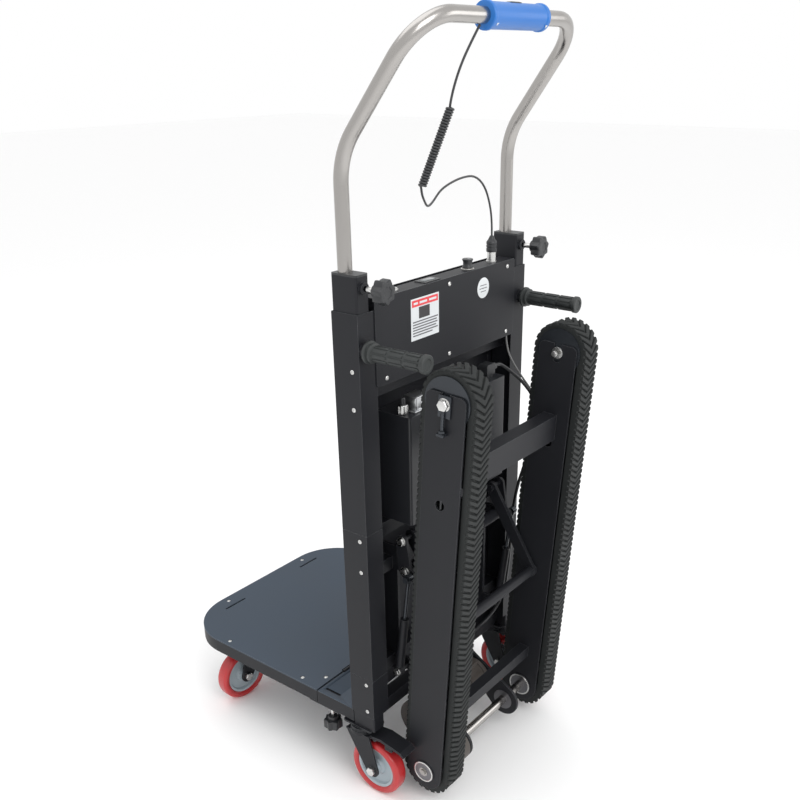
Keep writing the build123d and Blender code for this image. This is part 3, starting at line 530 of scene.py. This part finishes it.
def star_knob(name, radius, height):
    """Seven-lobed hand knob with a dished top, and a collar below its underside."""
    lobes, wave, dish = 7, 0.11, 1.2
    corners = lobes * 4
    deselect()
    bpy.ops.mesh.primitive_circle_add(vertices=corners, radius=radius * MM, fill_type="NGON")
    head = bpy.context.object
    head.name = name
    for corner in head.data.vertices:
        angle = corner.index * 2 * pi / corners
        corner.co *= 1 - wave + wave * cos(lobes * angle)
    edit_all()
    for share, ratio in ((0.12, 1.06), (0.76, 1.0), (0.12, 0.9), (0, 0.55)):
        extrude_up(height * share * MM, ratio)
    extrude_up(-dish * MM)
    close_edit()
    choose(head)
    bpy.ops.object.transform_apply(location=False, rotation=False, scale=True)
    fit = min(1.0, radius * MM / max(v.co.xy.length for v in head.data.vertices))
    head.scale = (fit, fit, 1)
    bpy.ops.object.transform_apply(scale=True)
    soften(head, 0.8, 3, 30)
    steps = [(radius * 0.42, -8), (radius * 0.5, -7), (radius * 0.56, 0.5)]
    collar = turned(name + "_collar", steps, 0.4)
    return joined(name, [head, collar])


def knobs():
    head_height, clamp_z = 20.0, 1072
    lock_x, lock_y, lock_z = 240, -136, 122
    for side, word in SIDES:
        low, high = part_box(f"clamp_knob_{word}")
        back = Vector(((low.x + high.x) / 2, high.y - head_height * MM, at(0, 0, clamp_z).z))
        knob = star_knob(f"clamp_star_{word}", 22.5, head_height)
        place(knob, back, TO_Y)
        dress(knob, black_plastic, f"clamp_{word}", "black_plastic", f"clamp_knob_{word}")
        stud = turned(f"clamp_stud_{word}", [(4.4, -24), (5, -23.5), (5, -8)], 0.3, 32)
        place(stud, back, TO_Y)
        dress(stud, zinc, f"clamp_{word}", "zinc")

        knob = star_knob(f"lock_star_{word}", 21.0, 22.0)
        place(knob, at(side * lock_x, lock_y, lock_z), TO_MINUS_Z)
        dress(knob, black_plastic, f"lock_{word}", "black_plastic", f"lock_knob_{word}")
        stud = turned(f"lock_stud_{word}", [(3.9, 0), (3.9, 41)], 0.3, 24)
        place(stud, at(side * lock_x, lock_y, lock_z))
        dress(stud, zinc, f"lock_{word}", "zinc")


# ---------------------------------------------------------------- handle and grips

def sleeve():
    low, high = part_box("grip_sleeve")
    length = (high.x - low.x) / MM
    bore, body, rim = 12.6, 20.0, 21.8
    bar_y, bar_z = 117, 1477
    steps = [(bore, 0), (rim - 1.2, 0), (rim, 1.5), (rim, 7.5), (body, 10), (body, length - 10),
             (rim, length - 7.5), (rim, length - 1.5), (rim - 1.2, length), (bore, length)]
    piece = turned("blue_sleeve", steps, 0.5, 64)
    place(piece, (low.x, (low.y + high.y) / 2, (low.z + high.z) / 2), TO_X)
    dress(piece, blue_rubber, "handle", "blue_grip", "grip_sleeve")
    # The dark surround of the switch and a raised white mark near each end
    surround = slab("switch_surround", (32, 13, 3.2), 1.2)
    place(surround, at(-12, bar_y, bar_z + 19))
    dress(surround, black_plastic, "handle", "black_plastic")
    drop = radians(38)
    for name, x, radius in (("sleeve_mark_left", 55, body), ("sleeve_mark_right", -88, rim)):
        mark = turned(name, [(3.4, -0.4), (3.0, 0.25)], 0.0, 3)
        centre = at(x, bar_y + radius * cos(drop), bar_z - radius * sin(drop))
        place(mark, centre, (-pi / 2 - drop, 0, 0))
        dress(mark, white_print, "handle", "blue_grip")


def side_grip(side, word):
    """Rubber grip with two base flanges, lengthwise ribs in three lengths and an end ring."""
    length, core_r, rib_r = 126.0, 13.2, 13.6
    ribs, rows, rib_length, row_start, row_pitch = 10, 3, 29, 17.5, 33.5
    steps = [(20, 0), (20, 4.4), (15.5, 5.4), (15.5, 8.6), (17.5, 9.4), (17.5, 12.4), (core_r, 14),
             (core_r, length - 9), (16.5, length - 8), (16.5, length - 1.2), (14.8, length),
             (10, length), (9, length - 2)]
    parts = [turned("core", steps, 0.4)]
    for i in range(ribs):
        angle = 2 * pi * i / ribs
        for row in range(rows):
            rib = slab("rib", (1.8, 5.4, rib_length), 0.7, 2)
            middle = row_start + row * row_pitch + rib_length / 2
            spot = Vector((rib_r * cos(angle), rib_r * sin(angle), middle)) * MM
            parts.append(place(rib, spot, (0, 0, angle)))
    grip = joined(f"side_grip_rubber_{word}", parts)
    place(grip, at(side * 247, 12, 966), TO_Y)
    return grip


def side_grips():
    for side, word in SIDES:
        grip = side_grip(side, word)
        dress(grip, grip_rubber, "frame", "black_rubber", "side_grips")


# ---------------------------------------------------------------- control box

STICKER, DISC_X, DISC_Z = 0.25, -107, 1009
DIAL_Z = 1049


def sticker(name, x0, x1, z0, z1, lift, material):
    """A thin plate from x0 to x1 and z0 to z1, its middle lifted from the rear cover."""
    plate = slab(name, (x1 - x0, STICKER, z1 - z0), 0.1, 1)
    place(plate, at((x0 + x1) / 2, COVER_FACE + lift, (z0 + z1) / 2))
    return dress(plate, material, "frame", "black_powder")


def labels():
    """Plain label with a red header, a dark panel and lines, and a round disc. No words."""
    left, right, low, high = 38.0, 121.0, 953.0, 1029.0
    sticker("label_sheet", left, right, low, high, 0.1, white_print)
    sticker("label_header", left + 3, right - 3, high - 15, high - 3, 0.3, red_print)
    for i, (x0, x1) in enumerate(((46, 68), (74, 96), (101, 113))):
        sticker(f"header_mark_{i}", x0, x1, high - 11, high - 7, 0.5, white_print)
    sticker("label_panel", 66, 98, high - 38, high - 17, 0.3, dark_print)
    for i, inset in enumerate((3, 7, 5, 9, 4, 20)):
        line_z = high - 42.5 - i * 5
        sticker(f"label_line_{i}", left + inset, right - 5, line_z - 1.3, line_z + 1.0, 0.3,
                grey_print)
    disc = turned("round_disc", [(20, 0), (20, STICKER)], 0.1)
    place(disc, at(DISC_X, COVER_FACE, DISC_Z), TO_Y)
    dress(disc, white_print, "frame", "black_powder")
    for i, half in enumerate((11, 13, 9)):
        line_z = DISC_Z + 4.5 - i * 6
        sticker(f"disc_line_{i}", DISC_X - half, DISC_X + half, line_z, line_z + 1.5, 0.3,
                grey_print)


def panel_top():
    low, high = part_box("charge_display")
    window = slab("display_glass", (33, 13, 1.2), 0.3)
    place(window, ((low.x + high.x) / 2, (low.y + high.y) / 2, high.z))
    dress(window, slate_glass, "frame", "display")
    low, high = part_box("speed_knob")
    centre = (low + high) / 2
    height = 19.2
    cap = [(10.2, 2.2), (10.8, 3), (10.2, 5.2), (8.8, 7.5), (8.8, 13), (10.4, 17), (10.8, 18.4),
           (9.8, height)]
    knob = turned("speed_knob_cap", cap, 0.3, 40)
    top = at(0, 0, DIAL_Z).z
    place(knob, (centre.x, centre.y, top))
    dress(knob, black_plastic, "speed_dial", "black_plastic", "speed_knob")
    pointer = slab("speed_pointer", (1.2, 8, 0.5), 0.15, 1)
    place(pointer, (centre.x, centre.y + 4.5 * MM, top + height * MM))
    dress(pointer, white_print, "speed_dial", "black_plastic")
    washer = turned("dial_plate", [(13, 0), (13, 1.0)], 0.3)
    place(washer, (centre.x, centre.y, top))
    dress(washer, pale_washer, "frame", "zinc")


# ---------------------------------------------------------------- battery fittings

def battery_top():
    """Latch box with its lid and foot, and the knurled terminal nut with its dark stem."""
    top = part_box("battery_case")[1].z / MM
    latch_x, nut_x, nut_r, ridges = 106, 145, 9.0, 24
    latch = slab("latch_box", (36, 30, 29), 4, 4)
    place(latch, at(latch_x, 0, top + 14.5))
    lid = slab("latch_lid", (38, 32, 3), 1, 2)
    place(lid, at(latch_x, 0, top + 27))
    foot = slab("latch_foot", (52, 38, 3), 1, 2)
    place(foot, at(latch_x, 0, top + 1.5))
    latch = joined("battery_latch", [latch, lid, foot])
    dress(latch, silver_box, "frame", "stainless", "battery_fittings")
    nut = turned("terminal_nut", [(8.2, 0), (nut_r, 1), (nut_r, 17), (8.2, 18)], 0.2, 30)
    place(nut, at(nut_x, 0, top))
    knurl = []
    for i in range(ridges):
        angle = 2 * pi * i / ridges
        ridge = slab("ridge", (1.0, 1.1, 15), 0.3, 1)
        spot = at(nut_x + nut_r * cos(angle), nut_r * sin(angle), top + 9)
        knurl.append(place(ridge, spot, (0, 0, angle)))
    dress(joined("terminal_nut", [nut] + knurl), zinc, "frame", "stainless")
    stem = turned("terminal_stem", [(5, 16), (5, 29), (4, 32)], 0.5, 32)
    place(stem, at(nut_x, 0, top))
    dress(stem, black_plastic, "frame", "black_plastic")


# ---------------------------------------------------------------- tracks

# The drive shaft's place, the distance from it to the idlers and the tracks' lean at rest
SHAFT_Y, SHAFT_Z, TRACK_LENGTH, TRACK_TILT = 95.0, 82.0, 813.0, radians(3.95)
LUG_PITCH, LUG_COUNT = 12.7, 150
BELT_IN, BELT_OUT, LUG_OUT, BELT_W, BELT_X = 42.0, 53.5, 58.0, 52.0, 184.0
LUG_BASE, LUG_TAPER, LUG_EDGE, CHEVRON_SLOPE = 10.6, 1.8, 0.7, 0.6
LOOP_LENGTH = LUG_PITCH * LUG_COUNT
PITCH_R = (LOOP_LENGTH - 2 * TRACK_LENGTH) / (2 * pi)


def loop_point(s, radius):
    """(across, up) at s along the belt, radius out from the line between the two shafts."""
    s %= LOOP_LENGTH
    if s < TRACK_LENGTH:
        return radius, s
    s -= TRACK_LENGTH
    if s < pi * PITCH_R:
        return radius * cos(s / PITCH_R), TRACK_LENGTH + radius * sin(s / PITCH_R)
    s -= pi * PITCH_R
    if s < TRACK_LENGTH:
        return -radius, TRACK_LENGTH - s
    angle = (s - TRACK_LENGTH) / PITCH_R
    return -radius * cos(angle), -radius * sin(angle)


def track_place(x, across, up):
    """A point in the track unit, which leans back by TRACK_TILT about the drive shaft."""
    return at(x, SHAFT_Y + across * cos(TRACK_TILT) + up * sin(TRACK_TILT),
              SHAFT_Z + up * cos(TRACK_TILT) - across * sin(TRACK_TILT))


def chevron():
    """One V-shaped lug, x across the belt, y along it and z outwards, in millimetres."""
    deselect()
    bpy.ops.mesh.primitive_cube_add(size=1)
    lug = bpy.context.object
    lug.scale = (BELT_W - 1, LUG_BASE, LUG_OUT - BELT_OUT + 1)
    lug.location.z = (LUG_OUT + BELT_OUT - 1) / 2
    bpy.ops.object.transform_apply(location=True, scale=True)
    edit_all()
    bpy.ops.mesh.bisect(plane_co=(0, 0, 0), plane_no=(1, 0, 0))
    bpy.ops.object.mode_set(mode="OBJECT")
    for corner in lug.data.vertices:
        if corner.co.z > LUG_OUT - 0.1:
            corner.co.y += -LUG_TAPER if corner.co.y > 0 else LUG_TAPER
        corner.co.y += abs(corner.co.x) * CHEVRON_SLOPE
    return bevelled(lug, LUG_EDGE, 1, 40)


def belt_band():
    """Endless band around both wheels, drawn flat as a racetrack and given its thickness."""
    deselect()
    steps = 64
    bpy.ops.mesh.primitive_circle_add(vertices=steps, radius=1, rotation=(0, 0, pi / steps))
    band = bpy.context.object
    bpy.ops.object.transform_apply(rotation=True)
    for corner in band.data.vertices:
        corner.co *= BELT_OUT
        if corner.co.y > 0:
            corner.co.y += TRACK_LENGTH
    edit_all()
    extrude_up(BELT_W)
    close_edit()
    wall = band.modifiers.new("wall", "SOLIDIFY")
    wall.thickness = BELT_OUT - BELT_IN
    wall.offset = -1
    bpy.ops.object.modifier_apply(modifier=wall.name)
    return band


def belts():
    lug = chevron()
    for side, word in SIDES:
        copies = []
        for i in range(LUG_COUNT):
            twin = copy_of(lug, f"lug_{i}")
            for corner in twin.data.vertices:
                across, up = loop_point((i + 0.5) * LUG_PITCH + corner.co.y, corner.co.z)
                corner.co = track_place(side * BELT_X + corner.co.x, across, up)
            copies.append(twin)
        band = belt_band()
        inner_x = side * BELT_X - BELT_W / 2
        for corner in band.data.vertices:
            corner.co = track_place(inner_x + corner.co.z, corner.co.x, corner.co.y)
        belt = joined(f"lugged_belt_{word}", [band] + copies)
        choose(belt)
        edit_all()
        close_edit()
        smooth(belt, 30)
        dress(belt, belt_rubber, "tracks", "belt_rubber", "track_belts")
    bpy.data.objects.remove(lug)


def tensioners():
    """Sliding block with its hexagon bolt, and the dark screw and tab that pull it up the slot."""
    screw_x, thread_low, thread_pitch, threads = 6.5, -58, 2.4, 20
    for side, word in SIDES:
        block = slab("block", (4, 26, 40), 1.0)
        tab = slab("tab", (13, 16, 5), 1.0)
        block.location = (2 * MM, 0, (TRACK_LENGTH - 4) * MM)
        tab.location = (screw_x * MM, 0, (TRACK_LENGTH - 53.5) * MM)
        steps = [(3.2, thread_low)]
        for i in range(threads):
            z = thread_low + thread_pitch * i
            steps += [(3.5, z + 0.6), (3.5, z + 1.2), (3.0, z + 1.8)]
        screw = turned("screw", [(r, TRACK_LENGTH + z) for r, z in steps], 0.0, 24)
        nut = turned("nut", [(6, TRACK_LENGTH - 51), (6, TRACK_LENGTH - 46)], 0.5, 6)
        screw.location.x = nut.location.x = screw_x * MM
        unit = joined(f"tensioner_{word}", [block, tab, screw, nut])
        choose(unit)
        bpy.ops.object.transform_apply(location=True)
        if side < 0:
            unit.scale.x = -1
            bpy.ops.object.transform_apply(scale=True)
            edit_all()
            close_edit()
        place(unit, at(side * 218, SHAFT_Y, SHAFT_Z), (-TRACK_TILT, 0, 0))
        dress(unit, gloss_black, "tracks", "black_powder", "track_tensioners")
        top = track_place(0, 0, TRACK_LENGTH)
        y, z = top.y / MM - REAR, top.z / MM
        hex_bolt(f"idler_bolt_{word}", 19, 8, "tracks", 222.2, y, z, side)
        hex_bolt(f"idler_nut_{word}", 19, 8, "tracks", 149.8, y, z, -side)
        axle_end = turned(f"idler_axle_end_{word}", [(6.0, 0), (6.0, 4.5), (5.2, 5.2)], 0.2, 32)
        place(axle_end, at(side * 141.5, y, z), TO_MINUS_X if side > 0 else TO_X)
        dress(axle_end, zinc, "tracks", "zinc")


# ---------------------------------------------------------------- brace and casters

def brace_bolts():
    """Hexagon bolts of the lever's two pivots and of the gas springs' lower eyes."""
    lever_face, spring_face = 172.8, 191.2
    for name, y, z in (("lever_pivot_bolt", 19, 507), ("lever_tip_bolt", 11, 571)):
        for side, word in SIDES:
            hex_bolt(f"{name}_{word}", 16.4, 5.6, "lever", lever_face, y, z, side)
    for side, word in SIDES:
        hex_bolt(f"spring_foot_bolt_{word}", 13, 6, "frame", spring_face, 8, 276, side)


def bearing_rims():
    """Ground rims around the track bearings, on the faces away from the belts."""
    rim_width = 3
    for side, word in SIDES:
        for name, x, outer in (("inner", 147.2, 26.5), ("outer", 220.8, 23.5)):
            rim = spun(f"{name}_bearing_rim_{word}", outer - rim_width, outer, 1.4, 0.5)
            place(rim, at(side * x, SHAFT_Y, SHAFT_Z), TO_X)
            dress(rim, zinc, "tracks", "zinc")


def base_skin():
    """Blue-grey top of the fixed base, with its two slots."""
    skin = slab("base_skin", (519, 99, 0.6), 0.15, 1)
    place(skin, at(0, -108.3, 195.1))
    for side, _ in SIDES:
        slot = slab("slot", (6, 42, 6), 2.9, 5)
        cut_out(skin, place(slot, at(side * 242, -128, 195)))
    dress(skin, deck_powder, "frame", "black_powder")


def casters():
    """Tyres, hubs and axle nuts. Each caster is turned about its stem by some degrees."""
    tyre_r, tread_w, hub_r, nut_x = 62.5, 32.0, 46.0, 24
    # Half of the hub's outline, from its bore out to the tyre on one side
    face = [(13.2, -17), (14, -11), (17, -10), (20, -5), (39, -5), (41, -10.5), (43.5, -12),
            (46.2, -12)]
    other_face = [(radius, -height) for radius, height in reversed(face)]
    wheel = [(12, -17)] + face + other_face + [(12, 17)]
    for place_name, turns in (("rear_left", 0), ("rear_right", 0),
                              ("front_left", -94), ("front_right", 94)):
        low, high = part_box(f"{place_name}_hub")
        centre = (low + high) / 2
        lean = (0, pi / 2, radians(turns))
        tyre = spun(f"{place_name}_tyre_ring", hub_r - 0.5, tyre_r, tread_w, 8)
        place(tyre, centre, lean)
        dress(tyre, red_tyre, f"{place_name}_wheel", "red_tyre", f"{place_name}_tyre")
        hub = turned(f"{place_name}_hub_disc", wheel, 0.0, 64)
        place(hub, centre, lean)
        dress(hub, grey_hub, f"{place_name}_wheel", "grey_hub", f"{place_name}_hub")
        for side in (1, -1):
            bolt = turned(f"{place_name}_axle_{'nut' if side > 0 else 'head'}",
                          [(10.6, 0), (10.6, 6.4), (9.2, 8)], 0.4, 6)
            out = Vector((cos(radians(turns)), sin(radians(turns)), 0)) * side * nut_x * MM
            place(bolt, centre + out, (0, side * pi / 2, radians(turns)))
            dress(bolt, zinc, f"{place_name}_caster", "zinc")


# ---------------------------------------------------------------- stage

def stage():
    """Pale floor, white surroundings and three soft lamps aimed at the middle of the machine."""
    aim = Vector((0, 0.1, 0.7))
    bpy.ops.mesh.primitive_plane_add(size=40)
    floor = bpy.context.object
    floor.name = "floor"
    paint = bpy.data.materials.new("pale_floor")
    paint.use_nodes = True
    shader = paint.node_tree.nodes["Principled BSDF"]
    shader.inputs["Base Color"].default_value = (0.97, 0.97, 0.97, 1)
    shader.inputs["Roughness"].default_value = 0.9
    floor.data.materials.append(paint)
    world = bpy.data.worlds.new("studio")
    world.use_nodes = True
    world.node_tree.nodes["Background"].inputs["Color"].default_value = (1.0, 1.0, 1.0, 1)
    world.node_tree.nodes["Background"].inputs["Strength"].default_value = 1.0
    bpy.context.scene.world = world
    lamps = (("key", (1.1, 3.0, 3.0), 52, 2.2), ("side", (-2.4, 2.6, 1.8), 16, 1.6),
             ("top", (0.2, -0.6, 3.4), 22, 2.4))
    for name, spot, power, size in lamps:
        light = bpy.data.lights.new(name, "AREA")
        light.energy = power
        light.size = size
        lamp = bpy.data.objects.new(name, light)
        lamp.location = spot
        lamp.rotation_euler = (aim - Vector(spot)).to_track_quat("-Z", "Y").to_euler()
        bpy.context.scene.collection.objects.link(lamp)
    bpy.context.scene.view_settings.view_transform = "Standard"


def camera():
    lens = bpy.data.cameras.new("camera")
    lens.sensor_width = 36.0
    lens.lens = 41.78
    lens.shift_x, lens.shift_y = -0.0366, 0.1054
    eye = bpy.data.objects.new("camera", lens)
    eye.location = (1.3939, 1.2143, 1.4148)
    eye.rotation_euler = (radians(65.4345), radians(0.506), radians(127.2835))
    bpy.context.scene.collection.objects.link(eye)
    bpy.context.scene.camera = eye


camera()
control_cord()
signal_cable()
all_screws()
knobs()
sleeve()
side_grips()
labels()
panel_top()
battery_top()
belts()
tensioners()
brace_bolts()
bearing_rims()
base_skin()
casters()
stage()
